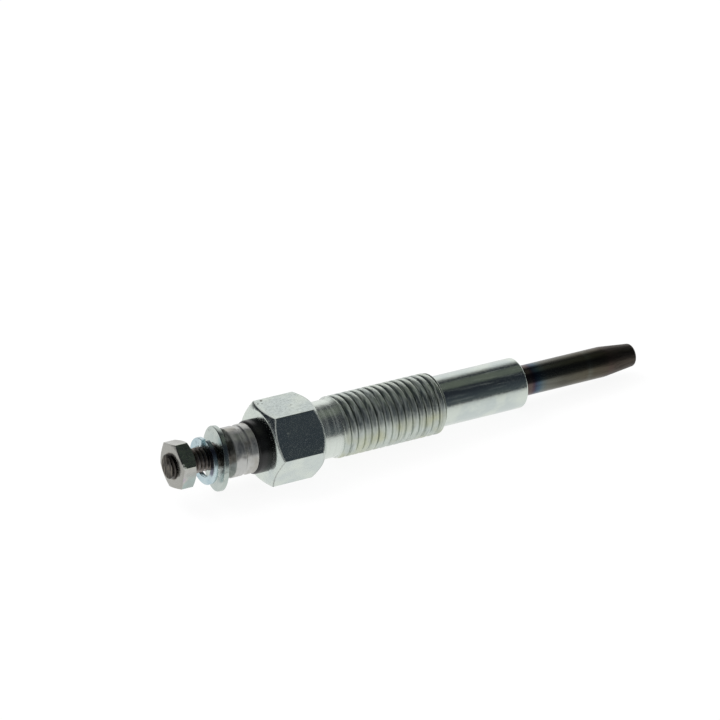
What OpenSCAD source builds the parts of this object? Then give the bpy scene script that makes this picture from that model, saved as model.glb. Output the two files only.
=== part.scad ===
// Diesel glow plug: turned housing with a pressed-in heater sheath and a screw terminal.
// The plug lies along X with its terminal at -X and its hot tip at +X.
// The origin is on the axis in the middle of the housing's thread.

/* [Housing] */
// Hexagon across its flats
hex_af = 12; // [11.5:0.5:14]
// Length of the hexagon
hex_len = 8.5; // [6.5:0.5:12]
// Angle of the turned chamfer on both ends of the hexagon
hex_chamfer_angle = 30; // [15:5:40]
// Diameter of the plain neck under the hexagon
neck_d = 9.3; // [8.6:0.1:9.8]
// Length of the plain neck
neck_len = 3.9; // [2:0.1:6]
// Major diameter of the fixing thread
thread_d = 10; // [9.5:0.25:11]
// Length of the threaded part with its run-in and end chamfer
thread_len = 19.4; // [14:0.2:26]
// Radial size of the chamfer on the thread's end at the shank
thread_chamfer = 0.5; // [0.2:0.1:0.6]
// Diameter of the plain shank below the thread
shank_d = 8.25; // [7.5:0.05:8.9]
// Length of the plain shank
shank_len = 15.7; // [12:0.1:22]
// Radius on the shank's end
shank_round = 0.4; // [0.2:0.1:0.8]
// Diameter of the bore that the centre rod runs through
bore_d = 6; // [5.3:0.1:6.6]
// Diameter of the counterbore under the insulator
counterbore_d = 7.4; // [7:0.1:8]

/* [Sheath] */
// Outer diameter of the heater sheath
sheath_d = 5; // [4.6:0.1:5.2]
// Wall of the heater sheath
sheath_wall = 0.6; // [0.4:0.05:0.7]
// Length of the sheath that stands out of the housing
sheath_exposed = 22.4; // [18:0.2:30]
// Length of the sheath that is pressed into the housing
sheath_seated = 22; // [16:0.5:26]
// Length of the swaged taper at the tip
taper_len = 5.9; // [3:0.1:8]
// Diameter at the end of the taper
tip_d = 3.7; // [3.4:0.1:4.2]
// Radius round the tip's end
tip_round = 0.5; // [0.2:0.1:0.8]
// Thickness of the closed end
tip_wall = 1.3; // [0.9:0.1:2]

/* [Heater] */
// Mean diameter of both coils
coil_d = 1.8; // [1.5:0.1:1.9]
// Diameter of the coil wire
wire_d = 0.3; // [0.2:0.05:0.4]
// Length of the heating coil
heating_len = 12; // [8:0.5:16]
// Turns of the heating coil
heating_turns = 14; // [8:1:18]
// Turns of the control coil
control_turns = 14; // [8:1:18]
// Length of the weld boss in the tip that carries the heating coil
boss_len = 1; // [0.6:0.1:1.6]

/* [Centre rod] */
// Diameter of the rod and of its threaded stud
rod_d = 4; // [3.6:0.1:4.2]
// Diameter of the rod's nose inside the sheath
nose_d = 2.6; // [2.2:0.1:2.9]
// How far the nose reaches into the sheath
nose_reach = 12; // [9:0.5:14]
// Length of the thin end of the nose that carries the control coil
nose_end_len = 1.5; // [1:0.1:3]
// Chamfer on the stud's end
stud_chamfer = 0.2; // [0.1:0.05:0.5]

/* [Insulator and seals] */
// Diameter of the insulator's flange
bush_flange_d = 8.6; // [8.2:0.1:10]
// Thickness of the insulator's flange
bush_flange_t = 2.1; // [1.5:0.1:3]
// Radius on the flange's outer edge
bush_round = 0.5; // [0.2:0.1:0.8]
// Length of the insulator's spigot in the counterbore
bush_spigot_len = 3; // [2:0.1:4]
// Length of the rubber seal in the sheath's mouth
seal_len = 3; // [2:0.1:4]

/* [Press ring] */
// Outer diameter of the press ring
ring_d = 8; // [7.2:0.1:9]
// Length of the press ring
ring_len = 4.05; // [3:0.05:6]
// Depth of the waist that the crimping tool leaves
waist_depth = 0.15; // [0.05:0.05:0.4]
// Width of the waist's floor
waist_len = 0.9; // [0.4:0.1:1.4]
// Width of the slopes on both sides of the waist
waist_slope = 0.2; // [0.1:0.05:0.4]
// Chamfer on the press ring's ends
ring_chamfer = 0.15; // [0.05:0.05:0.3]

/* [Terminal] */
// Clear gap between the press ring and the plain washer
ring_gap = 0.25; // [0.2:0.05:2]
// Outer diameter of the plain washer
plain_d = 10.3; // [9:0.1:12]
// Play of the plain washer's hole on the stud
plain_play = 1.2; // [0.8:0.1:1.6]
// Thickness of the plain washer
plain_t = 0.75; // [0.5:0.05:1.2]
// Lean of the loose plain washer, top towards the hexagon
plain_lean = 2.5; // [0:0.5:6]
// Turn of the loose plain washer, near side towards the nut
plain_turn = 9.5; // [0:0.5:12]
// Clear gap between the two washers
washer_gap = 0.45; // [0.1:0.05:0.8]
// Outer diameter of the spring washer
spring_d = 7.6; // [6.8:0.1:8.4]
// Play of the spring washer's hole on the stud
spring_play = 1; // [0.2:0.1:1.2]
// Thickness of the spring washer's section
spring_t = 0.75; // [0.6:0.05:1.3]
// Axial rise of the spring washer from one cut end to the other
spring_rise = 0.45; // [0.3:0.05:1.5]
// Angle of the gap between the spring washer's cut ends
spring_gap_angle = 8; // [4:1:16]
// Clear length of stud between the spring washer and the nut
nut_gap = 2.6; // [0.2:0.1:4]
// Terminal nut across its flats
nut_af = 7; // [6.5:0.5:8]
// Thickness of the terminal nut
nut_t = 2.6; // [2.2:0.1:4]
// Play of the terminal nut on the stud's thread
nut_play = 0.1; // [0.05:0.05:0.3]
// Turn of the nut about the plug's axis
nut_turn = 42; // [0:1:59]
// How far the stud's end stands out of the nut
stud_reach = 0.75; // [0.1:0.05:2]

/* [Fits] */
// Radial clearance of pieces that are pressed or packed into each other
fit_gap = 0.02; // [0.01:0.01:0.05]
// Air left where a loose washer hangs on the stud
rest_gap = 0.05; // [0.02:0.01:0.1]

/* [Hidden] */
$fn = 64;
over = 1;               // length by which a cutting tool runs past the face it cuts
nut_chamfer_angle = 30; // on the nut's side at the washers only
nut_mouth = 0.3;        // radial size of the countersink in both mouths of the nut
wire_sides = 6;
steps_per_turn = 12;
washer_steps = 48;
arc_steps = 6;
full_turn = 360;
hex_half_angle = 30;    // half the angle between two flats of a hexagon

// Stations along the plug's axis
thread_end = thread_len / 2;
thread_start = -thread_len / 2;
hex_rear = thread_start - neck_len;
hex_front = hex_rear - hex_len;
shank_end = thread_end + shank_len;
tip_end = shank_end + sheath_exposed;
taper_start = tip_end - taper_len;
sheath_rear = shank_end - sheath_seated;
counterbore_end = hex_front + bush_spigot_len + (counterbore_d - rod_d) / 2;
seal_end = sheath_rear + seal_len;
nose_end = sheath_rear + nose_reach;
nose_step = nose_end - nose_end_len;
cavity_end = tip_end - tip_wall;
boss_start = cavity_end - boss_len;
ring_rear = hex_front - bush_flange_t;
ring_front = ring_rear - ring_len;
plain_tilt = acos(cos(plain_lean) * cos(plain_turn));
plain_half = plain_t / 2 * cos(plain_tilt) + plain_d / 2 * sin(plain_tilt);
plain_x = ring_front - ring_gap - plain_half;
spring_rear = plain_x - plain_t / 2 - spring_d / 2 * sin(plain_tilt) - washer_gap;
spring_front = spring_rear - spring_t - spring_rise;
nut_rear = spring_front - nut_gap;
nut_front = nut_rear - nut_t;
stud_end = nut_front - stud_reach;

// Radii that follow from a fit
cavity_r = sheath_d / 2 - sheath_wall;
tip_cavity_r = tip_d / 2 - sheath_wall;
wrap_r = (coil_d - wire_d) / 2 * cos(full_turn / steps_per_turn / 2) - 2 * fit_gap;
plain_hole = rod_d + plain_play;
spring_hole = rod_d + spring_play;
nut_hole = rod_d + nut_play;
plain_drop = (plain_hole * cos(plain_lean) - plain_t * sin(plain_lean) - rod_d) / 2 - rest_gap;
spring_drop = spring_play / 2 - rest_gap;

// The coils share one helix line: control coil first, heating coil up to the tip
coil_start = nose_step + wire_d / 2 + fit_gap;
coil_end = cavity_end - wire_d / 2 - fit_gap;
coil_meet = coil_end - heating_len;

function circle_point(centre, radius, angle) = centre + radius * [cos(angle), sin(angle)];
function arc_points(centre, radius, from, to) =
    [for (i = [0:arc_steps]) circle_point(centre, radius, from + (to - from) * i / arc_steps)];

// Outline of a profile is [radius, station], turned about the plug's axis
module turned(outline) {
    rotate([0, 90, 0]) rotate_extrude() polygon(outline);
}

module drilled(from, to, diameter) {
    translate([from, 0, 0]) rotate([0, 90, 0]) cylinder(h = to - from, d = diameter);
}

// Hexagon bar with its ends turned to a cone that just meets the flats. A front angle of 0 leaves
// the front end square.
module turned_hexagon(from, to, across_flats, front_angle, rear_angle) {
    flat_r = across_flats / 2;
    corner_r = flat_r / cos(hex_half_angle);
    blank_r = corner_r + over;
    front_cone = [[flat_r, from], [blank_r, from + (blank_r - flat_r) * tan(front_angle)]];
    intersection() {
        translate([from, 0, 0]) rotate([0, 90, 0]) rotate(hex_half_angle)
            cylinder(h = to - from, r = corner_r, $fn = 6);
        turned([[0, from], each front_angle > 0 ? front_cone : [[blank_r, from]],
                [blank_r, to - (blank_r - flat_r) * tan(rear_angle)], [flat_r, to], [0, to]]);
    }
}

// Sweeps a section round the axis on a helix that rises from one station to another.
// A section point is [along the axis, outwards], and a turn runs from +Z towards +Y.
module helical_sweep(section, radius, from, to, angle_from, angle_to, steps) {
    sides = len(section);
    points = [for (k = [0:steps], p = section)
        let (angle = angle_from + (angle_to - angle_from) * k / steps,
             x = from + (to - from) * k / steps)
        [x + p[0], (radius + p[1]) * sin(angle), (radius + p[1]) * cos(angle)]];
    walls = [for (k = [0:steps - 1], i = [0:sides - 1])
        let (a = k * sides + i, b = k * sides + (i + 1) % sides)
        each [[a, b, b + sides], [a, b + sides, a + sides]]];
    first_cap = [for (i = [sides - 1:-1:0]) i];
    last_cap = [for (i = [0:sides - 1]) steps * sides + i];
    polyhedron(points, concat(walls, [first_cap, last_cap]));
}

module coil(from, to, turns, angle_from) {
    wire_section = [for (i = [0:wire_sides - 1])
        circle_point([0, 0], wire_d / 2, full_turn * i / wire_sides)];
    helical_sweep(wire_section, coil_d / 2, from, to, angle_from, angle_from + turns * full_turn,
                  turns * steps_per_turn);
}

module housing() {
    tube_outline = [
        [0, hex_rear - over], [neck_d / 2, hex_rear - over],
        [neck_d / 2, thread_start], [thread_d / 2, thread_start + (thread_d - neck_d) / 2],
        [thread_d / 2, thread_end - thread_chamfer],
        [thread_d / 2 - thread_chamfer, thread_end],
        [shank_d / 2, thread_end],
        each arc_points([shank_d / 2 - shank_round, shank_end - shank_round], shank_round, 0, 90),
        [0, shank_end]];
    color("silver") difference() {
        union() {
            turned_hexagon(hex_front, hex_rear, hex_af, hex_chamfer_angle, hex_chamfer_angle);
            turned(tube_outline);
        }
        drilled(hex_front - over, counterbore_end, counterbore_d);
        drilled(hex_front, sheath_rear, bore_d);
        drilled(sheath_rear - over, shank_end + over, sheath_d + 2 * fit_gap);
    }
}

module sheath_tube() {
    tip_r = tip_d / 2;
    shell = [[0, sheath_rear], [sheath_d / 2, sheath_rear], [sheath_d / 2, taper_start],
             each arc_points([tip_r - tip_round, tip_end - tip_round], tip_round, 0, 90),
             [0, tip_end]];
    cavity = [[0, sheath_rear - over], [cavity_r, sheath_rear - over], [cavity_r, taper_start],
              [tip_cavity_r, cavity_end], [wrap_r, cavity_end], [wrap_r, boss_start],
              [0, boss_start]];
    color("dimgray") difference() {
        turned(shell);
        turned(cavity);
    }
}

module insulator_bush() {
    spigot_r = counterbore_d / 2 - fit_gap;
    flange_r = bush_flange_d / 2;
    spigot_end = hex_front + bush_spigot_len;
    color("black") difference() {
        turned([[0, ring_rear],
                each arc_points([flange_r - bush_round, ring_rear + bush_round], bush_round, -90, 0),
                [flange_r, hex_front], [spigot_r, hex_front], [spigot_r, spigot_end], [0, spigot_end]]);
        drilled(ring_rear - over, spigot_end + over, rod_d + 2 * fit_gap);
    }
}

module press_ring() {
    ring_r = ring_d / 2;
    waist_r = ring_r - waist_depth;
    waist_from = (ring_front + ring_rear - waist_len) / 2;
    waist_to = waist_from + waist_len;
    color("gainsboro") difference() {
        turned([[0, ring_front], [ring_r - ring_chamfer, ring_front], [ring_r, ring_front + ring_chamfer],
                [ring_r, waist_from - waist_slope], [waist_r, waist_from],
                [waist_r, waist_to], [ring_r, waist_to + waist_slope],
                [ring_r, ring_rear - ring_chamfer], [ring_r - ring_chamfer, ring_rear], [0, ring_rear]]);
        drilled(ring_front - over, ring_rear + over, rod_d + 2 * fit_gap);
    }
}

module plain_washer() {
    color("lightgray") translate([plain_x, 0, -plain_drop]) rotate([0, plain_lean, -plain_turn]) difference() {
        drilled(-plain_t / 2, plain_t / 2, plain_d);
        drilled(-plain_t / 2 - over, plain_t / 2 + over, plain_hole);
    }
}

module spring_washer() {
    mean_r = (spring_d + spring_hole) / 4;
    half_w = (spring_d - spring_hole) / 4;
    section = [[0, -half_w], [spring_t, -half_w], [spring_t, half_w], [0, half_w]];
    color("lightblue") translate([0, 0, -spring_drop])
        helical_sweep(section, mean_r, spring_front, spring_rear - spring_t,
                      0, full_turn - spring_gap_angle, washer_steps);
}

module terminal_nut() {
    hole_r = nut_hole / 2;
    mouth_r = hole_r + nut_mouth;
    color("darkgray") difference() {
        rotate([nut_turn, 0, 0]) turned_hexagon(nut_front, nut_rear, nut_af, 0, nut_chamfer_angle);
        turned([[0, nut_front - over], [mouth_r, nut_front - over], [mouth_r, nut_front],
                [hole_r, nut_front + nut_mouth], [hole_r, nut_rear - nut_mouth],
                [mouth_r, nut_rear], [mouth_r, nut_rear + over], [0, nut_rear + over]]);
    }
}

module centre_rod() {
    shoulder = sheath_rear - fit_gap;
    shoulder_len = (rod_d - nose_d) / 2;
    color("saddlebrown") turned([
        [0, stud_end], [rod_d / 2 - stud_chamfer, stud_end], [rod_d / 2, stud_end + stud_chamfer],
        [rod_d / 2, shoulder - shoulder_len], [nose_d / 2, shoulder],
        [nose_d / 2, nose_step], [wrap_r, nose_step], [wrap_r, nose_end], [0, nose_end]]);
}

module o_ring() {
    section_d = (counterbore_d - rod_d) / 2;
    color("dimgray") translate([counterbore_end - section_d / 2, 0, 0]) rotate([0, 90, 0])
        rotate_extrude() translate([(rod_d + section_d) / 2, 0]) circle(d = section_d - 2 * fit_gap);
}

module sheath_seal() {
    color("darkslategray") difference() {
        drilled(sheath_rear, seal_end, 2 * (cavity_r - fit_gap));
        drilled(sheath_rear - over, seal_end + over, nose_d + 2 * fit_gap);
    }
}

module control_coil() {
    color("orange") coil(coil_start, coil_meet, control_turns, 0);
}

module heating_coil() {
    color("red") coil(coil_meet, coil_end, heating_turns, control_turns * full_turn);
}

// Powder fills the sheath round the rod's nose, the tip's boss and both coils
module magnesia_packing() {
    color("white") difference() {
        turned([[nose_d / 2 + fit_gap, seal_end], [cavity_r - fit_gap, seal_end],
                [cavity_r - fit_gap, taper_start], [tip_cavity_r - fit_gap, cavity_end],
                [wrap_r + fit_gap, cavity_end], [wrap_r + fit_gap, boss_start - fit_gap],
                [0, boss_start - fit_gap], [0, nose_end + fit_gap], [wrap_r + fit_gap, nose_end + fit_gap],
                [wrap_r + fit_gap, nose_step + fit_gap], [nose_d / 2 + fit_gap, nose_step + fit_gap]]);
        control_coil();
        heating_coil();
    }
}

housing();
sheath_tube();
insulator_bush();
press_ring();
plain_washer();
spring_washer();
terminal_nut();
centre_rod();
o_ring();
sheath_seal();
control_coil();
heating_coil();
magnesia_packing();
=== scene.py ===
# %% [markdown]
# # A diesel glow plug on a white table
# A glow plug is a turned steel housing that screws into an engine's head. A thin sheath with a
# heating coil inside stands out of one end, and a stud with a nut and two washers out of the other.
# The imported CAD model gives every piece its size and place. This lesson dresses it: each visible
# piece is modelled again with the edges, threads and finish that the real one has.

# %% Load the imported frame
import math

import bmesh
import bpy
from mathutils import Matrix, Vector


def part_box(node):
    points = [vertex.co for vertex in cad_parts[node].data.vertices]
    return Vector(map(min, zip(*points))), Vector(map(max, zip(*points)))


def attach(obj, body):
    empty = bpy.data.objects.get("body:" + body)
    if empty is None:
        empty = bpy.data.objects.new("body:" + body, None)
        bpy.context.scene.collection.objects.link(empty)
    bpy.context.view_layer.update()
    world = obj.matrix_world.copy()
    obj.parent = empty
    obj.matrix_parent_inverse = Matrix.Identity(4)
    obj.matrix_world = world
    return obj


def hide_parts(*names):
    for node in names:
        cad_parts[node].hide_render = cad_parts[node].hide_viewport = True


MM = 0.001
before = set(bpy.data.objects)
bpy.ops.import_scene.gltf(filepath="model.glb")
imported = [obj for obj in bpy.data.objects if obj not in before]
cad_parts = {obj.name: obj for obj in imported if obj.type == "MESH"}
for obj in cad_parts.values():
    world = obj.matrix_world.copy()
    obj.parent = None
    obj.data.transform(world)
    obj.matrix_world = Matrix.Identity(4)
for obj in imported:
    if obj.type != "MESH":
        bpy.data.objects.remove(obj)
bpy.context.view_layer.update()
bpy.ops.object.select_all(action="DESELECT")


def span(node):
    """Lowest and highest corner of a CAD node, in millimetres."""
    low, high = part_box(node)
    return low / MM, high / MM


HEX_LENGTH = 8.5
NECK_LENGTH = 3.9
housing_low, housing_high = span("housing")
HEX_FRONT = housing_low.x
HEX_REAR = HEX_FRONT + HEX_LENGTH
THREAD_START = HEX_REAR + NECK_LENGTH
THREAD_END = -THREAD_START  # the frame's origin is the middle of the thread
SHANK_END = housing_high.x

# %% [markdown]
# ## The table and the camera
# A plug that is put down rolls until a flat of its hexagon is below, and then dips until the end of
# its thread touches too. The CAD frame keeps the axis level, so here the table leans by that dip
# instead. The picture was taken from far away with a long lens, a little from the terminal's side.
# The camera's "up" is the table's normal, so the table lies level in the picture.

# %% Place the table and the camera
THREAD_R = 5
THREAD_CHAMFER = 0.5
TABLE_GAP = 0.02
REST_DIP = math.atan2(-THREAD_R - housing_low.z, THREAD_END - THREAD_CHAMFER - HEX_REAR)
TABLE_SIZE = 4000
VIEW_AZIMUTH = math.radians(-31.914)
VIEW_ELEVATION = math.radians(26.811)
VIEW_DISTANCE = 725
VIEW_AIM = Vector((0.107, 6.844, 6.72))
LENS = 228.37
SENSOR_WIDTH = 36
NEAR_CLIP = 0.01

table_up = Vector((-math.sin(REST_DIP), 0, math.cos(REST_DIP)))
bpy.ops.mesh.primitive_plane_add(
    size=TABLE_SIZE * MM,
    location=Vector((HEX_REAR, 0, housing_low.z - TABLE_GAP)) * MM,
    rotation=(0, -REST_DIP, 0),
)
table = bpy.context.object
table.name = "table"

view_back = Vector((
    math.sin(VIEW_AZIMUTH) * math.cos(VIEW_ELEVATION),
    -math.cos(VIEW_AZIMUTH) * math.cos(VIEW_ELEVATION),
    math.sin(VIEW_ELEVATION),
))
view_right = table_up.cross(view_back).normalized()
view_up = view_back.cross(view_right)
bpy.ops.object.camera_add(location=(VIEW_AIM + view_back * VIEW_DISTANCE) * MM)
camera = bpy.context.object
camera.rotation_euler = Matrix((view_right, view_up, view_back)).transposed().to_euler()
camera.data.lens = LENS
camera.data.sensor_width = SENSOR_WIDTH
camera.data.clip_start = NEAR_CLIP
bpy.context.scene.camera = camera
print(f"table dips {math.degrees(REST_DIP):.2f} degrees, camera at {camera.location / MM} mm")

# %% [markdown]
# ## Shader maths as Python
# Every finish below is a small tree of nodes. Drawing a tree in code is long-winded, so one class
# wraps a node's output: arithmetic on it adds Math nodes, and `add` makes any other node.


# %% A wire between shader nodes
class Wire:
    """A node's output socket, on which arithmetic adds Math nodes."""

    def __init__(self, tree, socket=None):
        self.tree = tree
        self.socket = socket

    def add(self, kind, settings=None, sockets=None, out=0):
        """Adds a node: first its settings, then the values or links of its sockets."""
        node = self.tree.nodes.new(kind)
        for key, value in (settings or {}).items():
            if key == "stops":
                while len(node.color_ramp.elements) < len(value):
                    node.color_ramp.elements.new(1)
                for element, (position, colour) in zip(node.color_ramp.elements, value):
                    element.position = position
                    element.color = colour
            else:
                setattr(node, key, value)
        for key, value in (sockets or {}).items():
            if isinstance(value, Wire):
                self.tree.links.new(value.socket, node.inputs[key])
            else:
                node.inputs[key].default_value = value
        return Wire(self.tree, node.outputs[out] if node.outputs else None)

    def math(self, operation, *values):
        return self.add("ShaderNodeMath", {"operation": operation}, dict(enumerate(values)))

    def __add__(self, other):
        return self.math("ADD", self, other)

    def __radd__(self, other):
        return self.math("ADD", other, self)

    def __sub__(self, other):
        return self.math("SUBTRACT", self, other)

    def __rsub__(self, other):
        return self.math("SUBTRACT", other, self)

    def __mul__(self, other):
        return self.math("MULTIPLY", self, other)

    def __rmul__(self, other):
        return self.math("MULTIPLY", other, self)

    def __truediv__(self, other):
        return self.math("DIVIDE", self, other)

    def __pow__(self, other):
        return self.math("POWER", self, other)

    def split(self):
        """The X, Y and Z of a vector."""
        node = self.add("ShaderNodeSeparateXYZ", sockets={"Vector": self}).socket.node
        return [Wire(self.tree, socket) for socket in node.outputs]

    def rise(self, start, end):
        """0 up to start, 1 from end on, and a smooth step between."""
        settings = {"interpolation_type": "SMOOTHSTEP"}
        return self.add("ShaderNodeMapRange", settings, {"Value": self, "From Min": start, "From Max": end})

    def rise_mm(self, start, end):
        """The same for a length, between two values in millimetres."""
        return self.rise(start * MM, end * MM)

    def ramp(self, stops):
        """A colour ramp over 0 to 1."""
        return self.add("ShaderNodeValToRGB", {"stops": stops}, {"Fac": self})

    def noise(self, scale, detail=2.0, roughness=0.5):
        """Noise at this place, with so many features to a metre."""
        sockets = {"Vector": self, "Scale": scale, "Detail": detail, "Roughness": roughness}
        return self.add("ShaderNodeTexNoise", None, sockets, out="Fac")

    def blend(self, low, high):
        """The colour low where this value is 0, high where it is 1, and a mix between."""
        return self.add("ShaderNodeMix", {"data_type": "RGBA"}, {0: self, 6: low, 7: high}, out=2)

    def stretch(self, *factors):
        """This place, scaled along X, Y and Z: noise is drawn out where the factor is small."""
        return self.add("ShaderNodeVectorMath", {"operation": "MULTIPLY"}, {0: self, 1: factors})


print("shader maths ready")

# %% [markdown]
# ## Colours
# Colours are written as a screen shows them, from 0 to 255, or as a share of white. A shader takes
# them as linear light.


# %% Colour helpers
def grey(share):
    """A linear grey, as a share of white."""
    return (share, share, share, 1.0)


def tone(*screen):
    """A screen colour of 0 to 255 as the linear colour that a shader takes, by the sRGB curve."""
    linear = []
    for level in screen:
        share = level / 255
        linear.append(((share + 0.055) / 1.055) ** 2.4 if level > 10 else share / 12.92)
    return (*linear, 1.0)


WHITE = tone(255, 255, 255)
print(f"half of the screen's range is {tone(128, 128, 128)[0]:.3f} of white in linear light")

# %% [markdown]
# ## The studio
# Polished metal has hardly any colour of its own: it shows the room. Here the table is white, a
# bright backdrop rises behind it, and the room is dark on the camera's side and to the left, with a
# dim ceiling and a glow low down at both ends. That is why each cylinder has a bright top edge, a
# dark band and a bright underside. The room only exists for reflected rays. The camera sees plain
# white, and matt surfaces get an even soft light.

# %% Build the world
ROOM_DARK = tone(44, 48, 55)
ROOM_FLOOR = tone(84, 90, 93)
ROOM_WALL = tone(59, 65, 72)
ROOM_CEILING = tone(101, 106, 99)
SIDE_GLOW = grey(0.6)
SOFT_LIGHT = grey(0.75)
HALF_TURN = 180
# Degrees of climb: from the camera's side over the ceiling to the backdrop
ROOM_STOPS = (
    (0, ROOM_FLOOR), (29, ROOM_WALL), (48, ROOM_DARK), (70, ROOM_DARK), (78, ROOM_CEILING),
    (106, ROOM_CEILING), (113, ROOM_DARK), (118, ROOM_DARK), (126, grey(0.17)), (132, grey(0.37)),
    (139, grey(0.68)), (145, grey(0.9)), (151, grey(0.97)), (HALF_TURN, grey(0.98)),
)
LEFT_DARK = (0.1, -0.3)
# Each glow rises sideways between the first two values, and upwards it ends between the others
SIDE_GLOWS = (((-0.72, -0.9), (0.12, 0.02)), ((0.9, 0.98), (0.2, 0.06)))


def ray_kinds(wire):
    """1 for a ray from the camera, and 1 for a ray that a surface mirrors or lets through."""
    ray = wire.add("ShaderNodeLightPath").socket.node
    names = ("Is Camera Ray", "Is Glossy Ray", "Is Transmission Ray")
    camera_ray, glossy_ray, clear_ray = [Wire(wire.tree, ray.outputs[name]) for name in names]
    return camera_ray, glossy_ray + clear_ray


world = bpy.data.worlds.new("studio")
bpy.context.scene.world = world
world.use_nodes = True
world.node_tree.nodes.clear()
world.cycles.sampling_method = "NONE"
sky = Wire(world.node_tree)
look_x, look_y, look_z = sky.add("ShaderNodeTexCoord", out="Generated").split()
climb = look_z.math("ARCTAN2", look_z, 0 - look_y) / math.pi
room = climb.ramp([(angle / HALF_TURN, colour) for angle, colour in ROOM_STOPS])
room = look_x.rise(*LEFT_DARK).blend(room, ROOM_DARK)
beside = 0
for sideways, upwards in SIDE_GLOWS:
    beside = beside + look_x.rise(*sideways) * look_z.rise(*upwards)
room = beside.blend(room, SIDE_GLOW)
from_camera, mirrored = ray_kinds(sky)
light = from_camera.blend(mirrored.blend(SOFT_LIGHT, room), WHITE)
backdrop = sky.add("ShaderNodeBackground", sockets={"Color": light})
sky.add("ShaderNodeOutputWorld", sockets={"Surface": backdrop})
print(f"{world.name}: {len(world.node_tree.nodes)} nodes")

# %% [markdown]
# ## The table's finish and the lamp
# To the camera the table is mostly a white glow, with a share of matt paper that takes the plug's
# shadow. In the metal it is a bright sheet, whose mirror image fades into the dark room towards the
# camera. One large soft lamp stands behind the plug on the left, and no metal mirrors it.

# %% Finish the table and set the lamp
TABLE_GLOW = 0.85
GLOW_STRENGTH = 1.05
TABLE_MATT = grey(0.9)
TABLE_NEAR = -0.12
# Metres of depth on the table: from the camera's side up to the plug
TABLE_STOPS = ((TABLE_NEAR, ROOM_DARK), (-0.07, grey(0.3)), (-0.04, grey(0.6)), (-0.02, grey(0.74)),
               (-0.008, grey(0.84)), (0, grey(0.86)))
LAMP_SIZE = 0.6
LAMP_PLACE = Vector((-0.35, 0.55, 0.9))
LAMP_POWER = 4.5

paper = bpy.data.materials.new("white_table")
paper.use_nodes = True
paper.node_tree.nodes.clear()
paper.cycles.emission_sampling = "NONE"
sheet = Wire(paper.node_tree)
from_camera, mirrored = ray_kinds(sheet)
depth = sheet.add("ShaderNodeTexCoord", out="Object").split()[1]
mirror = (1 - depth / TABLE_NEAR).ramp([(1 - place / TABLE_NEAR, colour) for place, colour in TABLE_STOPS])
shown = mirrored.blend(WHITE, mirror)
matt = sheet.add("ShaderNodeBsdfDiffuse", sockets={"Color": TABLE_MATT})
glow = sheet.add("ShaderNodeEmission", sockets={"Color": shown, "Strength": GLOW_STRENGTH})
share = from_camera * TABLE_GLOW + mirrored
mixed = sheet.add("ShaderNodeMixShader", sockets={0: share, 1: matt, 2: glow})
sheet.add("ShaderNodeOutputMaterial", sockets={"Surface": mixed})
table.data.materials.append(paper)

bpy.ops.object.light_add(type="AREA", location=LAMP_PLACE)
lamp = bpy.context.object
lamp.name = "soft_lamp"
lamp.rotation_euler = LAMP_PLACE.to_track_quat("Z", "Y").to_euler()
lamp.data.size = LAMP_SIZE
lamp.data.energy = LAMP_POWER
lamp.visible_glossy = False
print(f"lamp {LAMP_PLACE.length:.2f} m away")

# %% [markdown]
# ## Outlines
# Nearly every piece of the plug is turned, so it starts as an outline: corners with a station along
# the axis and a radius. No real edge is quite sharp, so a corner may name a rounding, and the
# outline gets an arc there. A circle of as many points as the outline has makes a closed line to
# start from.

# %% Outline helpers
ARC_STEP = math.radians(15)


def rounded(corners):
    """Outline points from (station, radius, rounding) corners, with an arc at each rounded one."""
    outline = []
    for before, corner, after in zip(corners[-1:] + corners[:-1], corners, corners[1:] + corners[:1]):
        here = Vector(corner[:2])
        if len(corner) < 3:
            outline.append(here)
            continue
        rounding = corner[2]
        back = (Vector(before[:2]) - here).normalized()
        ahead = (Vector(after[:2]) - here).normalized()
        half = back.angle(ahead) / 2
        centre = here + (back + ahead).normalized() * rounding / math.sin(half)
        first = here + back * rounding / math.tan(half) - centre
        last = here + ahead * rounding / math.tan(half) - centre
        sweep = math.copysign(first.angle(last), first.x * last.y - first.y * last.x)
        steps = max(2, math.ceil(abs(sweep) / ARC_STEP))
        outline += [centre + Matrix.Rotation(sweep * k / steps, 2) @ first for k in range(steps + 1)]
    return outline


def closed_line(name, points):
    """A circle whose vertices are moved to the given points, in millimetres."""
    bpy.ops.object.select_all(action="DESELECT")
    bpy.ops.mesh.primitive_circle_add(vertices=len(points))
    piece = bpy.context.object
    piece.name = name
    piece.data.name = name
    bpy.ops.object.mode_set(mode="EDIT")
    line = bmesh.from_edit_mesh(piece.data)
    for corner, point in zip(line.verts, points):
        corner.co = Vector(point) * MM
    bmesh.update_edit_mesh(piece.data)
    bpy.ops.mesh.select_all(action="SELECT")
    return piece


square = rounded([(0, 0, 0.1), (1, 0, 0.1), (1, 1, 0.1), (0, 1, 0.1)])
print(f"a square with four rounded corners has {len(square)} points")

# %% [markdown]
# ## Turning on the lathe
# In Blender, turning is a spin: the outline is drawn once and swept round the axis. Cutting is a
# Boolean that takes the tool's shape away. A finished piece is shaded smooth up to a set angle, gets
# its finish, and takes the place of its CAD node.

# %% Lathe helpers
TURN_STEPS = 128
WELD = 1e-6
SMOOTH_ANGLE = math.radians(32)


def only(piece):
    """Selects one object alone and makes it the active one."""
    bpy.ops.object.select_all(action="DESELECT")
    piece.select_set(True)
    bpy.context.view_layer.objects.active = piece


def weld(piece):
    """Merges doubles, drops loose edges and turns the faces outwards, from edit mode."""
    bpy.ops.mesh.select_all(action="SELECT")
    bpy.ops.mesh.remove_doubles(threshold=WELD)
    bpy.ops.mesh.delete_loose()
    bpy.ops.mesh.select_all(action="SELECT")
    bpy.ops.mesh.normals_make_consistent(inside=False)
    bpy.ops.object.mode_set(mode="OBJECT")
    return piece


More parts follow.
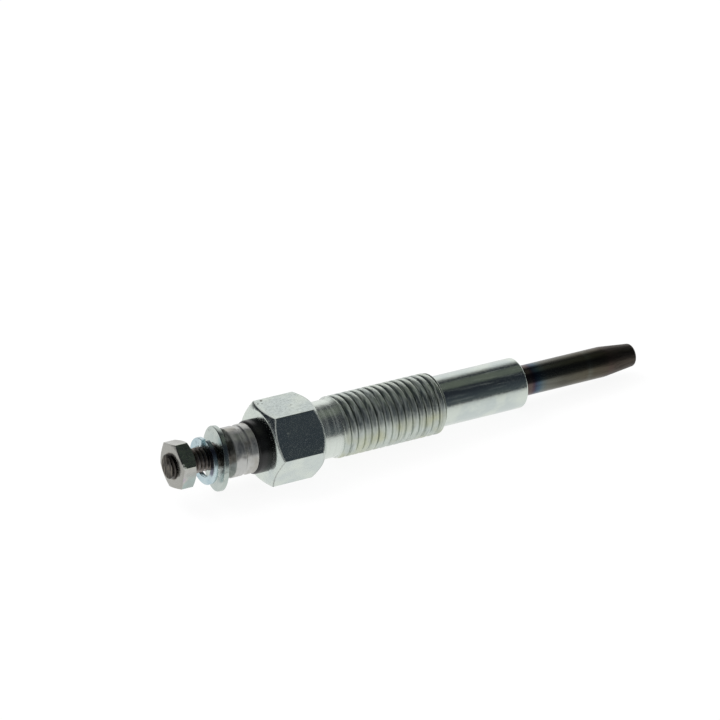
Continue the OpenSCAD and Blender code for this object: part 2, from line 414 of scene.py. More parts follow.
def turn(name, corners, steps=TURN_STEPS):
    """Spins a closed outline of (station, radius, rounding) corners round the plug's axis."""
    piece = closed_line(name, [(station, 0, radius) for station, radius in rounded(corners)])
    bpy.ops.mesh.spin(steps=steps, angle=2 * math.pi, center=(0, 0, 0), axis=(1, 0, 0))
    return weld(piece)


def cut(piece, tool):
    """Takes one mesh away from another and drops the tool."""
    only(piece)
    bpy.ops.object.modifier_add(type="BOOLEAN")
    modifier = piece.modifiers[-1]
    modifier.operation = "DIFFERENCE"
    modifier.solver = "EXACT"
    modifier.object = tool
    bpy.ops.object.modifier_apply(modifier=modifier.name)
    bpy.data.objects.remove(tool)


def finish_piece(piece, node, material):
    """Smooths a piece, gives it its finish and lets it stand for its CAD node."""
    only(piece)
    bpy.ops.object.shade_smooth_by_angle(angle=SMOOTH_ANGLE)
    bpy.ops.object.modifier_add(type="WEIGHTED_NORMAL")
    piece.modifiers[-1].keep_sharp = True
    bpy.ops.object.modifier_apply(modifier=piece.modifiers[-1].name)
    piece.data.materials.clear()
    piece.data.materials.append(material)
    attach(piece, "root")
    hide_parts(node)
    print(f"{piece.name}: {len(piece.data.polygons)} faces, {piece.dimensions / MM} mm")


print(f"lathe ready, {TURN_STEPS} steps to a turn")

# %% [markdown]
# ## Cutting threads
# A thread is cut by a tool that winds along the bar. The Screw modifier winds a small closed
# outline round the axis into just that tool, and a Boolean takes it away from the bar. Where the
# cut has to fade out, the tool's vertices are lifted off the bar, as a lathe hand draws the tool
# back.

# %% Winding helpers
WIND_STEPS = 64
FLANK = math.tan(math.radians(30))
CREST_FLANK = math.tan(math.radians(60))
TOOL_RISE = 0.1  # pitches by which the tool stands out of the bar
LIFT_OFF = 1.2  # depths by which the tool is drawn back


def wind(name, section, turns, pitch, angle=2 * math.pi, steps=WIND_STEPS):
    """Winds a closed section of (station, radius) points round the axis, and caps both ends."""
    tool = closed_line(name, [(station, 0, radius) for station, radius in section])
    bpy.ops.object.mode_set(mode="OBJECT")
    bpy.ops.object.modifier_add(type="SCREW")
    screw = tool.modifiers[-1]
    screw.axis = "X"
    screw.angle = angle
    screw.screw_offset = pitch * MM
    screw.iterations = turns
    screw.steps = steps
    screw.render_steps = steps
    bpy.ops.object.modifier_apply(modifier=screw.name)
    bpy.ops.object.mode_set(mode="EDIT")
    bpy.ops.mesh.select_all(action="SELECT")
    bpy.ops.mesh.fill_holes(sides=0)
    return weld(tool)


def thread_tool(major_d, depth, root_half, pitch, start, end, fade_from, fade_to, crest=0.0):
    """A winding cutter for a right-hand thread with chamfered crests, drawn back between two stations."""
    root_r = major_d / 2 - depth
    crest_r = major_d / 2 - crest
    top_r = major_d / 2 + TOOL_RISE * pitch
    crest_half = root_half + (crest_r - root_r) * FLANK
    top_half = crest_half + (top_r - crest_r) * (CREST_FLANK if crest else FLANK)
    half = [(root_half, root_r), (crest_half, crest_r), (top_half, top_r)]
    section = [(start - wide, radius) for wide, radius in half]
    section += [(start + wide, radius) for wide, radius in reversed(half)]
    tool = wind("thread_tool", section, math.ceil((end - start) / pitch), pitch)
    for corner in tool.data.vertices:
        share = (corner.co.x / MM - fade_from) / (fade_to - fade_from)
        lift = min(max(share, 0), 1) * depth * LIFT_OFF * MM
        radius = math.hypot(corner.co.y, corner.co.z)
        corner.co.yz *= 1 + lift / radius
    return tool


print(f"winding tools ready, {WIND_STEPS} steps to a turn")

# %% [markdown]
# ## Milling hexagons
# A hexagon is milled by a ring with a six-sided hole: a Boolean takes the ring away, and the
# hexagon is left standing. A small bevel then softens the sharp edges that the mill leaves.

# %% Milling helpers
RING_SCALE = 2  # the ring's outside against its hole
BEVEL_STEPS = 2
OVERCUT = 1


def hexagon_tool(across_flats, start, end, turned=0.0):
    """A ring with a six-sided hole, which leaves a hexagon standing."""
    corner_r = across_flats / 2 / math.cos(math.pi / 6)
    angles = [turned + math.pi / 3 * k for k in range(6)]
    tool = closed_line("hexagon_tool", [
        (start, corner_r * math.cos(angle), corner_r * math.sin(angle)) for angle in angles
    ])
    bpy.ops.mesh.extrude_edges_move(TRANSFORM_OT_translate={"value": (0, 0, 0)})
    bpy.ops.transform.resize(value=(1, RING_SCALE, RING_SCALE), center_override=(0, 0, 0))
    bpy.ops.mesh.select_all(action="SELECT")
    bpy.ops.mesh.extrude_region_move(TRANSFORM_OT_translate={"value": ((end - start) * MM, 0, 0)})
    return weld(tool)


def soften(piece, size, start, end, inner_r):
    """Bevels the sharp edges of a piece between two stations and outside a radius."""
    only(piece)
    bpy.ops.object.mode_set(mode="EDIT")
    bpy.ops.mesh.select_mode(type="EDGE")
    bpy.ops.mesh.select_all(action="DESELECT")
    shape = bmesh.from_edit_mesh(piece.data)
    for edge in shape.edges:
        middle = (edge.verts[0].co + edge.verts[1].co) / 2 / MM
        near = start < middle.x < end and math.hypot(middle.y, middle.z) > inner_r
        edge.select_set(near and edge.calc_face_angle(0) > SMOOTH_ANGLE / 2)
    shape.select_flush_mode()
    bpy.ops.mesh.bevel(offset=size * MM, segments=BEVEL_STEPS, clamp_overlap=True)
    bpy.ops.object.mode_set(mode="OBJECT")


print(f"mill ready, its ring stands {OVERCUT} mm past both ends of a hexagon")

# %% [markdown]
# ## Finishes
# Each finish starts from the piece's own coordinates, so it stays put from every side, and ends in
# one Principled shader with a fine bump. A mark such as a nick is a small ball in space: it shows
# where the surface runs through it.

# %% Finish helpers
SPOT_CORE = 0.4  # share of a mark's radius that is covered in full


def new_finish(name):
    """An empty material and the wire of its object coordinates."""
    material = bpy.data.materials.new(name)
    material.use_nodes = True
    material.node_tree.nodes.clear()
    return material, Wire(material.node_tree).add("ShaderNodeTexCoord", out="Object")


def close_finish(place, colour, roughness, height, relief, metallic=1.0):
    """Joins colour, roughness and a bump of so many metres to a Principled shader and the output."""
    normal = place.add("ShaderNodeBump", sockets={"Height": height, "Distance": relief})
    sockets = {"Base Color": colour, "Roughness": roughness, "Metallic": metallic, "Normal": normal}
    shader = place.add("ShaderNodeBsdfPrincipled", sockets=sockets)
    place.add("ShaderNodeOutputMaterial", sockets={"Surface": shader})


def counted(material):
    """Prints how many nodes a finish has, and hands it on."""
    print(f"{material.name}: {len(material.node_tree.nodes)} nodes")
    return material


def from_axis(y, z):
    """Distance from the plug's axis, or from a line beside it if y and z are measured from there."""
    return (y * y + z * z) ** 0.5


def spots(place, marks):
    """1 on each mark, given as X, Y, Z and radius in millimetres, and 0 elsewhere."""
    spot = 0
    for *centre, size in marks:
        sockets = {0: place, 1: Vector(centre) * MM}
        away = place.add("ShaderNodeVectorMath", {"operation": "DISTANCE"}, sockets, out="Value")
        spot = spot + away.rise_mm(size, size * SPOT_CORE)
    return spot


print("finish helpers ready")

# %% [markdown]
# ## Zones of the housing
# One finish covers the whole housing, but the neck, the thread and the shank differ, and the edges
# of the hexagon's flats are worn. Each zone is a value that is 1 inside and 0 outside, worked out
# from the station along the axis and the distance from it.

# %% Zones of the housing
HEX_AF = housing_high.z * 2
HEX_FACE_R = HEX_AF / 2 - 0.36
HEX_REAR_R = HEX_AF / 2 - 0.16
HEX_REAR_SLOPE = math.tan(math.radians(44))
HEX_END = HEX_REAR + 0.35
WORN_WIDTH = 0.26


def zones(x):
    """1 on the neck, on the thread and on the shank, each with a soft edge."""
    past_neck = x.rise_mm(THREAD_START - 0.2, THREAD_START + 1)
    before_shank = x.rise_mm(THREAD_END + 0.4, THREAD_END)
    on_neck = x.rise_mm(HEX_END, HEX_END + 0.2) * (1 - past_neck)
    return on_neck, past_neck * before_shank, 1 - before_shank


def worn_edges(x, radius):
    """A narrow strip of each flat along the hexagon's chamfers, where the edge has lost its shine."""
    past_front = x - HEX_FRONT * MM - (radius - HEX_FACE_R * MM) * FLANK
    before_rear = HEX_END * MM - x - (radius - HEX_REAR_R * MM) * HEX_REAR_SLOPE
    strips = 0
    for away, share in ((past_front, 1), (before_rear, 0.5)):
        strip = away.rise_mm(0, 0.05) * away.rise_mm(WORN_WIDTH, 0.6 * WORN_WIDTH)
        strips = strips + share * strip
    return strips * radius.rise_mm(HEX_AF / 2 - 0.2, HEX_AF / 2 - 0.1)


print(f"neck from {HEX_END:.2f}, thread from {THREAD_START:.2f}, shank from {THREAD_END:.2f} mm")

# %% [markdown]
# ## Zinc plating
# The housing is plated with zinc: a pale metal with a trace of green, which shows the room sharply
# but not like a mirror. Under the lens it is mottled, with a fine grain and faint clouds, and the
# hexagon has a few nicks and rubbed spots. Fine lines run round the neck and along the shank. The
# thread has short strokes round it and fine dark lines, dirt and painted shade in its grooves, more
# on its upper side, painted shade over its lower side, and a straw tint, mostly on its lower side.

# %% Zinc finish
ZINC = tone(213, 221, 213)
ZINC_CLOUD = tone(200, 209, 206)
ZINC_STRAW = tone(204, 206, 168)
GROOVE_DIRT_AND_SHADE = tone(134, 142, 134)
NECK_BRIGHT = tone(220, 227, 220)
EDGE_WORN = tone(168, 173, 168)
NICK_DARK = tone(70, 66, 58)
LOWER_SIDE = (1.6, -0.2)
GROOVE_DEEP = (4.85, 4.7)
FINE_RELIEF = 4e-6
NICKS = ((-21.18, 2.17, 6, 0.22), (-20.26, 2.84, 6, 0.3), (-20.6, 1.9, 6, 0.16), (-16.75, -0.45, 6, 0.14))
RUBS = ((-19.74, -4.82, 3.66, 0.3), (-14.71, -6.56, 0.64, 0.35), (-16.9, -5.6, 2.3, 0.2))


def zinc_plating():
    material, place = new_finish("zinc_plating")
    x, y, z = place.split()
    radius = from_axis(y, z)
    on_neck, on_thread, on_shank = zones(x)
    below = z.rise_mm(*LOWER_SIDE)
    # Noise of several sizes: even, drawn out round the axis, and drawn out along it
    grain = place.noise(4800, 3, 0.6)
    cloud = place.noise(300, 3)
    mottle = place.noise(2600, 3, 0.6).rise(0.34, 0.7)
    peel = place.noise(1800, 1)
    lines = place.stretch(1, 0.03, 0.03).noise(3800, 3, 0.65)
    scratches = place.stretch(1, 0.02, 0.02).noise(1900, 2)
    strokes = place.stretch(1, 0.06, 0.06).noise(6500, 2, 0.6)
    drawn = place.stretch(0.05, 1, 1).noise(2600, 3, 0.6)
    # Colour: the plating first, then what lies on it
    colour = cloud.rise(0.35, 0.65).blend(ZINC, ZINC_CLOUD)
    straw = on_thread * place.noise(210, 2).rise(0.36, 0.66) * (0.15 + 0.6 * below)
    colour = straw.blend(colour, ZINC_STRAW)
    colour = on_neck.blend(colour, NECK_BRIGHT)
    # Dirt and painted shade: grooves darker on the upper side, the lower side darker overall, with fine dark
    # lines
    dirt_and_shade = on_thread * radius.rise_mm(*GROOVE_DEEP) * (0.3 + 0.5 * cloud) * (1 - 0.8 * below)
    dirt_and_shade = dirt_and_shade + on_thread * (0.4 * lines.rise(0.52, 0.68) + 0.16 * below)
    colour = dirt_and_shade.blend(colour, GROOVE_DIRT_AND_SHADE)
    nick = spots(place, NICKS)
    colour = nick.blend(colour, NICK_DARK)
    rub = spots(place, RUBS) * grain.rise(0.35, 0.6)
    worn = worn_edges(x, radius) * (0.5 + 0.5 * mottle)
    colour = worn.blend(colour, EDGE_WORN)
    # Gloss and bump
    scuff = on_neck * (0.2 + 0.6 * scratches.rise(0.4, 0.62))
    scuff = scuff + on_thread * (0.4 + 1.6 * cloud) * strokes.rise(0.52, 0.4)
    scuff = scuff + 0.5 * on_shank * drawn.rise(0.5, 0.7)
    roughness = 0.12 + 0.05 * grain + 0.2 * mottle * (1 - 0.7 * on_neck - 0.5 * on_shank)
    roughness = roughness + 0.14 * on_thread + 0.06 * on_neck + 0.1 * dirt_and_shade + 0.3 * rub
    height = grain + 0.6 * mottle + (4.5 - 2 * on_shank) * peel - 2 * nick - rub
    height = height + (4 * on_thread + on_neck) * lines
    metallic = 1 - 0.85 * worn - 0.18 * scuff
    close_finish(place, colour, roughness, height, FINE_RELIEF, metallic)
    return material


zinc = counted(zinc_plating())

# %% [markdown]
# ## The housing
# The housing is one turned bar: a hexagon for the spanner, a plain neck, an M10 thread and a plain
# shank that centres it in the engine's head. It is turned whole, with the stepped bore inside, then
# milled to a hexagon, softened along its edges, and threaded last, as the real one is.

# %% Turn, mill and thread the housing
NECK_R = 4.65
SHANK_R = 4.125
HEX_TURN_STEPS = 126  # no line of the mesh falls on a corner of the hexagon
HEX_BLANK_R = 7.4
HEX_CONE = (HEX_BLANK_R - HEX_FACE_R) * FLANK
HEX_REAR_CONE = (HEX_BLANK_R - HEX_REAR_R) * HEX_REAR_SLOPE
THREAD_LEAD = 0.7
EDGE = 0.1
sheath_low, sheath_high = span("sheath_tube")
SEAT = sheath_low.x
FIT = 0.02
SHEATH_R = 2.5
BORE_R = 3.0
COUNTERBORE_R = 3.7
COUNTERBORE_END = HEX_FRONT + 4.7
PITCH = 1.25
THREAD_DEPTH = 0.36
THREAD_FLOOR = 0.03
THREAD_CREST = 0.1
FIRST_GROOVE = THREAD_START - PITCH + 0.1
FADE_FROM = THREAD_START + 0.5 * PITCH
FADE_TO = THREAD_START - 0.4

housing = turn("glow_plug_housing", [
    (HEX_FRONT, COUNTERBORE_R), (HEX_FRONT, HEX_FACE_R), (HEX_FRONT + HEX_CONE, HEX_BLANK_R),
    (HEX_END - HEX_REAR_CONE, HEX_BLANK_R), (HEX_END, HEX_REAR_R), (HEX_END, NECK_R, 0.2),
    (THREAD_START, NECK_R), (THREAD_START + THREAD_LEAD, THREAD_R),
    (THREAD_END - THREAD_CHAMFER, THREAD_R), (THREAD_END, THREAD_R - THREAD_CHAMFER, EDGE),
    (THREAD_END, SHANK_R, 0.15), (SHANK_END, SHANK_R, 0.4), (SHANK_END, SHEATH_R + FIT, EDGE),
    (SEAT, SHEATH_R + FIT), (SEAT, BORE_R), (COUNTERBORE_END, BORE_R), (COUNTERBORE_END, COUNTERBORE_R),
], HEX_TURN_STEPS)
cut(housing, hexagon_tool(HEX_AF, HEX_FRONT - OVERCUT, HEX_END + OVERCUT))
soften(housing, EDGE, HEX_FRONT - OVERCUT, HEX_END + 0.05, NECK_R + 0.5)
cut(housing, thread_tool(2 * THREAD_R, THREAD_DEPTH, THREAD_FLOOR, PITCH, FIRST_GROOVE,
                         THREAD_END + PITCH, FADE_FROM, FADE_TO, THREAD_CREST))
finish_piece(housing, "housing", zinc)

# %% [markdown]
# ## The heater sheath
# The sheath is a thin tube of heat-proof alloy, swaged to a taper and closed at its tip. Heat has
# coloured it: straw-brown, violet and blue just outside the housing, grey along the middle, and
# brown-black scale at the tip. It is turned with its hollow inside, and the colours are one ramp
# along the axis, broken up by streaks.

# %% Sheath finish and form
TIP_END = sheath_high.x
OUTSIDE = TIP_END - SHANK_END
TAPER_START = TIP_END - 5.9
CAVITY_R = 1.9
TIP_R = 1.85
TIP_CAVITY_R = 1.25
WRAP_R = 0.68
CAVITY_END = TIP_END - 1.3
BOSS_START = CAVITY_END - 1
HEAT_BANDS = (
    (25.4, tone(92, 81, 76)), (26.9, tone(98, 87, 84)), (27.4, tone(80, 66, 75)), (27.85, tone(66, 74, 92)),
    (28.5, tone(76, 96, 110)), (29.2, tone(100, 111, 112)), (30.2, tone(106, 107, 100)),
    (33.5, tone(92, 91, 82)), (37.6, tone(90, 86, 74)), (38.2, tone(97, 97, 87)), (39.2, tone(87, 83, 71)),
    (41.5, tone(84, 77, 67)), (42.3, tone(84, 72, 66)), (43.5, tone(80, 73, 66)), (47.8, tone(80, 74, 68)),
)
SOOT = tone(52, 48, 44)
BAND_DRIFT = 0.5  # millimetres by which the bands wander
SCALE_GROWS = (40, 44)
SHINE_FADES = (27, 34)


def heat_tinted():
    material, place = new_finish("heat_tinted_alloy")
    x = place.split()[0]
    streak = place.stretch(0.12, 1, 1).noise(2600, 3, 0.6)
    grain = place.noise(5200, 2)
    drift = (place.noise(420, 2) - 0.5) * (BAND_DRIFT * MM)
    along = (x + drift) / (OUTSIDE * MM) - SHANK_END / OUTSIDE
    colour = along.ramp([((station - SHANK_END) / OUTSIDE, band) for station, band in HEAT_BANDS])
    scale = x.rise_mm(*SCALE_GROWS)
    soot = (0.25 + 0.35 * scale) * streak.rise(0.45, 0.62)
    colour = soot.blend(colour, SOOT)
    roughness = 0.16 + 0.1 * streak + 0.08 * x.rise_mm(*SHINE_FADES) + 0.18 * scale
    close_finish(place, colour, roughness, streak + 0.5 * grain, FINE_RELIEF)
    return material


sheath = turn("heater_sheath", [
    (SEAT, CAVITY_R), (SEAT, SHEATH_R, EDGE), (TAPER_START, SHEATH_R, 6), (TIP_END, TIP_R, 0.5), (TIP_END, 0),
    (BOSS_START, 0), (BOSS_START, WRAP_R), (CAVITY_END, WRAP_R), (CAVITY_END, TIP_CAVITY_R),
    (TAPER_START, CAVITY_R),
])
finish_piece(sheath, "sheath_tube", heat_tinted())

# %% [markdown]
# ## The insulator
# A black moulded bush keeps the stud clear of the housing. Its flange shows between the hexagon and
# the press ring, with a soft round front edge that catches the light.

# %% Insulator finish and form
bush_low, bush_high = span("insulator_bush")
BUSH_R = bush_high.y
ROD_R = 2.0
PLASTIC = tone(11, 12, 11)
PLASTIC_WORN = tone(22, 23, 23)
PLASTIC_RELIEF = 2e-6


def moulded_black():
    material, place = new_finish("moulded_black")
    grain = place.noise(3600, 3)
    cloud = place.noise(500, 2)
    colour = cloud.rise(0.4, 0.75).blend(PLASTIC, PLASTIC_WORN)
    close_finish(place, colour, 0.22 + 0.14 * grain, grain, PLASTIC_RELIEF, metallic=0.0)
    return material


bush = turn("insulator_bush_piece", [
    (bush_low.x, ROD_R + FIT), (bush_low.x, BUSH_R, 0.5), (HEX_FRONT, BUSH_R, 0.05),
    (HEX_FRONT, COUNTERBORE_R - FIT), (bush_high.x, COUNTERBORE_R - FIT, 0.2), (bush_high.x, ROD_R + FIT),
])
finish_piece(bush, "insulator_bush", moulded_black())

# %% [markdown]
# ## The press ring
# A turned steel ring is pressed on the stud to hold the insulator down, and the press leaves a
# shallow waist near its middle and dents that break up its reflections. Bare turned steel has fine
# lines round it from the tool: noise that is drawn out round the axis gives them, both in the bump
# and in the gloss.

# %% Press ring finish and form
ring_low, ring_high = span("press_ring")
RING_R = ring_high.y
WAIST_R = RING_R - 0.17
WAIST_HALF = 0.5
WAIST_FLOOR_HALF = 0.28
WAIST_EDGE = 0.12
waist_middle = ring_low.x + 0.57 * (ring_high.x - ring_low.x)
STEEL = tone(196, 197, 194)
STEEL_DULL = tone(172, 170, 162)
STEEL_LINE = tone(120, 118, 110)
DENT_RELIEF = 1.5e-4


def turned_steel():
    material, place = new_finish("turned_steel")
    lines = place.stretch(1, 0.03, 0.03).noise(7000, 3, 0.7)
    grain = place.noise(3000, 2)
    cloud = place.noise(450, 2)
    dents = place.noise(750, 1)
    colour = cloud.rise(0.4, 0.7).blend(STEEL, STEEL_DULL)
    colour = (lines.rise(0.55, 0.7) * 0.35).blend(colour, STEEL_LINE)
    roughness = 0.2 + 0.2 * lines + 0.06 * grain
    metallic = 0.96 - 0.2 * lines.rise(0.4, 0.62)
    close_finish(place, colour, roughness, 0.03 * lines + 0.02 * grain + dents, DENT_RELIEF, metallic)
    return material


ring = turn("crimped_press_ring", [
    (ring_low.x, ROD_R + FIT), (ring_low.x, RING_R, 0.18),
    (waist_middle - WAIST_HALF, RING_R, WAIST_EDGE), (waist_middle - WAIST_FLOOR_HALF, WAIST_R, WAIST_EDGE),
    (waist_middle + WAIST_FLOOR_HALF, WAIST_R, WAIST_EDGE), (waist_middle + WAIST_HALF, RING_R, WAIST_EDGE),
    (ring_high.x, RING_R, WAIST_EDGE), (ring_high.x, ROD_R + FIT),
])
finish_piece(ring, "press_ring", turned_steel())

# %% [markdown]
# ## The plain washer
# The plain washer is punched from plated sheet, so one rim is round where the punch went in. It
# hangs loose on the stud and leans. Its finish also serves the spring washer, which gets a painted
# violet shade on its near side.

# %% Plated finish and plain washer
WASHER_ZINC = tone(190, 199, 193)
WASHER_SHADE = tone(176, 188, 184)
WASHER_RUB = tone(120, 124, 120)
VIOLET_PAINTED_SHADE = tone(88, 86, 108)
SHADE_NEAR_SIDE = (-1.2, -2.2)
SHADE_UPPER_SIDE = (-2.2, -1.2)
SHADE_INSIDE_R = (3.65, 3.45)
PLATED_RELIEF = 3e-6
washer_low, washer_high = span("plain_washer")
washer_middle = (washer_low + washer_high) / 2
WASHER_LEAN = math.radians(2.5)
WASHER_TURN = math.radians(-9.5)
WASHER_T = 0.75
WASHER_R = 5.15
WASHER_HOLE_R = 2.6


def plated(name, colour, shade, near_shade_share=0.0):
    """Plated steel, with a share of painted violet shade on its near side, inside a radius."""
    material, place = new_finish(name)
    y, z = place.split()[1:]
    grain = place.noise(4200, 3)
    cloud = place.noise(380, 3)
    tint = cloud.rise(0.35, 0.7).blend(colour, shade)
    rub = place.noise(1500, 2).rise(0.58, 0.7)
    tint = (rub * 0.3).blend(tint, WASHER_RUB)
    # Painted shade: dark violet on the near, upper side, inside the rim
    near = y.rise_mm(*SHADE_NEAR_SIDE) * z.rise_mm(*SHADE_UPPER_SIDE) * from_axis(y, z).rise_mm(*SHADE_INSIDE_R)
    tint = (near * near_shade_share).blend(tint, VIOLET_PAINTED_SHADE)
    close_finish(place, tint, 0.2 + 0.08 * grain + 0.1 * rub, grain + rub, PLATED_RELIEF)
    return material


washer = turn("plain_washer_piece", [
    (-WASHER_T / 2, WASHER_HOLE_R, 0.06), (-WASHER_T / 2, WASHER_R, 0.2),
    (WASHER_T / 2, WASHER_R, 0.06), (WASHER_T / 2, WASHER_HOLE_R, 0.12),
])
washer.rotation_euler = (0, WASHER_LEAN, WASHER_TURN)
washer.location = washer_middle * MM
only(washer)
bpy.ops.object.transform_apply()
finish_piece(washer, "plain_washer", plated("plated_washer", WASHER_ZINC, WASHER_SHADE))

# %% [markdown]
# ## The spring washer
# The spring washer is a piece of wire with a square section, wound once and cut: the Screw modifier
# winds it, left-handed, so that its ends stand apart.

# %% Wind the spring washer
SPRING_ZINC = tone(200, 217, 221)
SPRING_SHADE = tone(178, 200, 208)
SPRING_PAINTED_SHADE = 0.9
spring_low, spring_high = span("spring_washer")
spring_middle = (spring_low + spring_high) / 2
SPRING_T = 0.75
SPRING_R = spring_high.y
SPRING_HOLE_R = 2.5
SPRING_TURN = math.radians(352)
spring_back = spring_low.x + SPRING_T

spring = wind(
    "spring_washer_piece",
    rounded([(spring_low.x, SPRING_HOLE_R, 0.1), (spring_low.x, SPRING_R, 0.14),
             (spring_back, SPRING_R, 0.14), (spring_back, SPRING_HOLE_R, 0.1)]),
    1, spring_high.x - spring_low.x - SPRING_T, -SPRING_TURN, TURN_STEPS,
)
spring.location.z = spring_middle.z * MM
only(spring)
bpy.ops.object.transform_apply()
# The spring washer's plating, with its painted violet shade
spring_shaded_plating = plated("plated_spring", SPRING_ZINC, SPRING_SHADE, SPRING_PAINTED_SHADE)
finish_piece(spring, "spring_washer", spring_shaded_plating)

# %% [markdown]
# ## The stud's finish
# The centre rod carries the current to the heater. Its outer end is an M4 stud, dark with old oil,
# and darker down in its grooves. The end that stands out of the nut is darker still and streaked,
# with a dark scar where a blow has dented it.

# %% Stud finish
rod_low, rod_high = span("centre_rod")
nut_low, nut_high = span("terminal_nut")
BROWN = tone(170, 164, 159)
BROWN_DARK = tone(124, 117, 112)
GROOVE_DARK = tone(66, 61, 57)
END_DARK = tone(46, 43, 40)
END_PALE = tone(116, 110, 100)
SCAR_DARK = tone(52, 48, 44)
END_SCAR = (-0.3, 1.27)
SCAR_R = (1.0, 0.5)
STUD_GROOVE = (1.75, 1.6)
OIL_RELIEF = 8e-6


def oily_steel():
    material, place = new_finish("oily_steel")
    x, y, z = place.split()
    grain = place.noise(4200, 3)
    smear = place.noise(900, 3).rise(0.35, 0.65)
    streak = place.stretch(1, 1, 0.2).noise(3400, 3).rise(0.4, 0.6)
    off_end = x.rise_mm(rod_low.x + 0.1, rod_low.x + 0.3)
    on_end = x.rise_mm(rod_low.x + 0.3, rod_low.x + 0.1)
    out_of_nut = x.rise_mm(nut_low.x + 0.5, nut_low.x)
    groove = from_axis(y, z).rise_mm(*STUD_GROOVE) * off_end
    scar = from_axis(y - END_SCAR[0] * MM, z - END_SCAR[1] * MM)
    scar = scar.rise_mm(*SCAR_R) * x.rise_mm(rod_low.x + 1, rod_low.x + 0.9)
    colour = smear.blend(BROWN, BROWN_DARK)
    # Darker down in the grooves
    colour = (0.7 * groove).blend(colour, GROOVE_DARK)
    colour = (0.8 * out_of_nut).blend(colour, END_DARK)
    colour = on_end.blend(colour, streak.blend(END_DARK, END_PALE))
    colour = ((0.6 + 0.4 * streak) * scar).blend(colour, SCAR_DARK)
    roughness = 0.32 + 0.15 * grain + 0.15 * groove + 0.1 * on_end
    close_finish(place, colour, roughness, grain + 2 * smear + 5 * on_end * streak, OIL_RELIEF)
    return material


oiled = counted(oily_steel())

# %% [markdown]
# ## The centre rod
# The rod is turned with its stepped nose, and its outer end gets the M4 thread, which fades out
# just before the press ring. A small ball, taken away at the end face, leaves the dent.

# %% Turn, thread and dent the rod
STUD_PITCH = 0.7
STUD_DEPTH = 0.43
STUD_ROOT_HALF = 0.06
STUD_CHAMFER = 0.2
STUD_THREAD_END = ring_low.x - 0.6
STUD_FADE = 1
NOSE_R = 1.3
NOSE_STEP = rod_high.x - 1.5
NOSE_CONE = 0.7
DENT_R = 1.1
DENT_OFF = 0.92
stud_start = rod_low.x - 2 * STUD_PITCH


def stud_tool(play, end, fade_from, fade_to):
    """The M4 cutter, which starts at the same station for rod and tap so that their turns agree."""
    return thread_tool(2 * (ROD_R + play), STUD_DEPTH - play / 2, STUD_ROOT_HALF, STUD_PITCH,
                       stud_start, end, fade_from, fade_to)


rod = turn("centre_rod_piece", [
    (rod_low.x, 0), (rod_low.x, ROD_R - STUD_CHAMFER, 0.05), (rod_low.x + STUD_CHAMFER, ROD_R),
    (SEAT - FIT - NOSE_CONE, ROD_R), (SEAT - FIT, NOSE_R), (NOSE_STEP, NOSE_R), (NOSE_STEP, WRAP_R),
    (rod_high.x, WRAP_R), (rod_high.x, 0),
])
cut(rod, stud_tool(0, STUD_THREAD_END, STUD_THREAD_END - STUD_FADE, STUD_THREAD_END))
bpy.ops.object.select_all(action="DESELECT")
bpy.ops.mesh.primitive_ico_sphere_add(
    subdivisions=3, radius=DENT_R * MM, location=Vector((rod_low.x - DENT_OFF, *END_SCAR)) * MM,
)
cut(rod, bpy.context.object)
finish_piece(rod, "centre_rod", oiled)

# %% [markdown]
# ## The nut's finish
# The nut is bare steel that has dulled, most of all on its front. The near upper flat has a painted
# green reflection tint, and the lower flats a faint painted sheen, part lilac and part mint. Brown
# stains and painted shade lie round the hole, and one corner of the front is chipped and pale.

# %% Nut finish
NUT_STEEL = tone(193, 193, 188)
NUT_SHADE = tone(160, 161, 157)
NUT_DULL = tone(142, 141, 134)
NUT_LILAC_SHEEN = tone(190, 180, 194)
NUT_MINT_SHEEN = tone(173, 188, 184)
NUT_STAIN_AND_SHADE = tone(104, 88, 76)
NUT_GREEN_REFLECTION = tone(200, 212, 184)
CHIP_PALE = tone(196, 200, 194)
NUT_CHIPS = ((nut_low.x + 0.25, -3.39, 1.66, 0.3), (nut_low.x + 0.3, -3.8, 1.28, 0.42))
NUT_RIM = (2.3, 2.05)
NUT_INSIDE = (2.1, 1.9)


def nut_finish():
    material, place = new_finish("dull_nut_steel")
    x, y, z = place.split()
    radius = from_axis(y, z)
    grain = place.noise(4400, 3)
    cloud = place.noise(520, 3)
    peel = place.noise(1500, 2)
    sheen = place.noise(420, 1)
    front = x.rise_mm(nut_low.x + 0.4, nut_low.x + 0.1)
    below = z.rise_mm(0.5, -1.5) * (1 - front)
    near_upper_flat = y.rise_mm(-0.4, -1) * z.rise_mm(1, 1.5) * (1 - front)
    rim = radius.rise_mm(*NUT_RIM)
    inside = radius.rise_mm(*NUT_INSIDE)
    # Painted reflection: a green tint on the near upper flat
    colour = near_upper_flat.blend(NUT_STEEL, NUT_GREEN_REFLECTION)
    # Painted sheen: lilac and mint tints only on the lower flats
    colour = (below * sheen.rise(0.5, 0.6)).blend(colour, NUT_LILAC_SHEEN)
    colour = (below * sheen.rise(0.5, 0.4)).blend(colour, NUT_MINT_SHEEN)
    colour = (0.6 * cloud.rise(0.35, 0.7)).blend(colour, NUT_SHADE)
    colour = (0.55 * front).blend(colour, NUT_DULL)
    # Brown stains, darkest in a ring at the hole's rim, which is also painted shade at the nut's mouth
    stain_and_shade = (rim * 0.8 + 0.2 * cloud.rise(0.55, 0.75)) * (0.4 + 0.6 * place.noise(1300, 2))
    colour = stain_and_shade.blend(colour, NUT_STAIN_AND_SHADE)
    colour = (inside * 0.85).blend(colour, BROWN_DARK)
    chip = spots(place, NUT_CHIPS) * grain.rise(0.4, 0.6)
    colour = chip.blend(colour, CHIP_PALE)
    roughness = 0.22 + 0.12 * peel + 0.2 * rim
    close_finish(place, colour, roughness, grain + 8 * peel, FINE_RELIEF, 1 - 0.85 * chip)
    return material


nut_steel = counted(nut_finish())

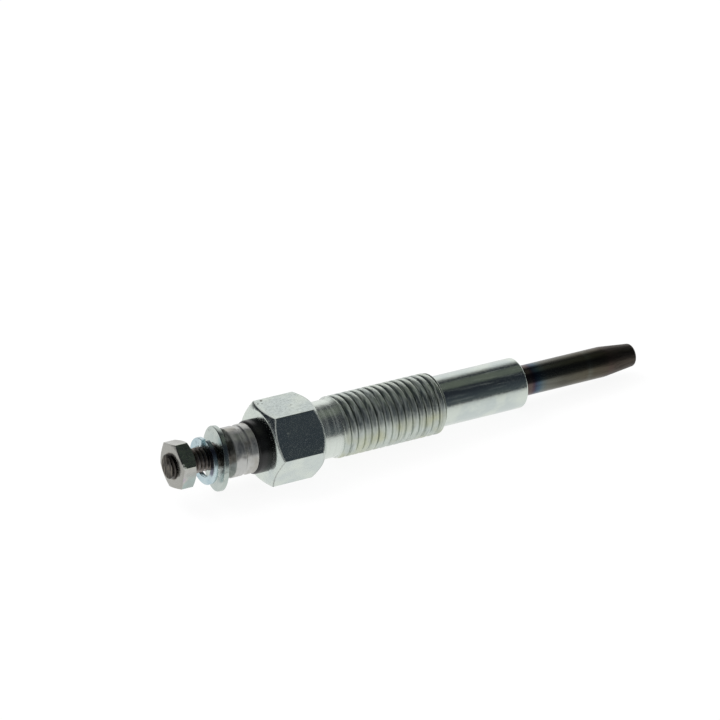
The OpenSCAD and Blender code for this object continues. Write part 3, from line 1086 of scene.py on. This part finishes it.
# %% [markdown]
# ## The nut
# The nut is turned, milled and tapped: its tap is a rod with the stud's own thread a little larger,
# so that the nut's turns lie in the stud's grooves with a hair of play. The stud's end stands out of
# the nut a little.

# %% Turn, mill and tap the nut
NUT_AF = 7
NUT_TURN = math.radians(42)
NUT_FACE_R = NUT_AF / 2 - 0.12
NUT_BLANK_R = 4.4
NUT_CONE = (NUT_BLANK_R - NUT_FACE_R) * FLANK
NUT_FRONT_CONE = (NUT_BLANK_R - NUT_FACE_R) * math.tan(math.radians(17))
NUT_HOLE_R = 1.62
NUT_MOUTH_R = 2.04
NUT_SINK = NUT_MOUTH_R - NUT_HOLE_R
THREAD_PLAY = 0.03
TAP_R = ROD_R + THREAD_PLAY
tap_end = nut_high.x + 2

nut = turn("terminal_nut_piece", [
    (nut_low.x, NUT_MOUTH_R), (nut_low.x, NUT_FACE_R), (nut_low.x + NUT_FRONT_CONE, NUT_BLANK_R),
    (nut_high.x - NUT_CONE, NUT_BLANK_R), (nut_high.x, NUT_FACE_R), (nut_high.x, NUT_MOUTH_R),
    (nut_high.x - NUT_SINK, NUT_HOLE_R), (nut_low.x + NUT_SINK, NUT_HOLE_R),
])
cut(nut, hexagon_tool(NUT_AF, nut_low.x - OVERCUT, nut_high.x + OVERCUT, NUT_TURN))
soften(nut, EDGE, nut_low.x - OVERCUT, nut_high.x + OVERCUT, NUT_MOUTH_R + 0.5)
tap = turn("tap", [(stud_start, 0), (stud_start, TAP_R), (tap_end, TAP_R), (tap_end, 0)])
cut(tap, stud_tool(THREAD_PLAY, tap_end + 1, tap_end + 3, tap_end + 4))
cut(nut, tap)
finish_piece(nut, "terminal_nut", nut_steel)

# %% [markdown]
# ## The pieces inside
# Two rubber seals, two coils and the white powder round them can't be seen in the closed plug. They
# stay as the CAD model has them, and get simple finishes of their own for whoever opens it.

# %% Finishes of the inner pieces
INNER_RELIEF = 5e-6


def inner_finish(name, colour, shade, roughness, metallic, scale):
    material, place = new_finish(name)
    grain = place.noise(scale, 3)
    tint = grain.rise(0.35, 0.7).blend(colour, shade)
    close_finish(place, tint, roughness + 0.1 * grain, grain, INNER_RELIEF, metallic)
    return material


rubber = inner_finish("seal_rubber", tone(30, 30, 31), tone(46, 46, 46), 0.6, 0.0, 2500)
coil_wire = inner_finish("coil_alloy", tone(150, 142, 132), tone(112, 100, 92), 0.3, 1.0, 3500)
powder = inner_finish("packed_powder", tone(236, 234, 226), tone(220, 216, 206), 0.85, 0.0, 4500)
INNER = {"o_ring": rubber, "sheath_seal": rubber, "control_coil": coil_wire, "heating_coil": coil_wire,
         "magnesia_packing": powder}
for node, material in INNER.items():
    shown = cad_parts[node]
    shown.data.materials.clear()
    shown.data.materials.append(material)
print(f"{len(INNER)} inner pieces finished")

# %% [markdown]
# ## Closing the scene
# The view transform is Standard, so colours come out as they are written.

# %% Finish
bpy.context.scene.view_settings.view_transform = "Standard"
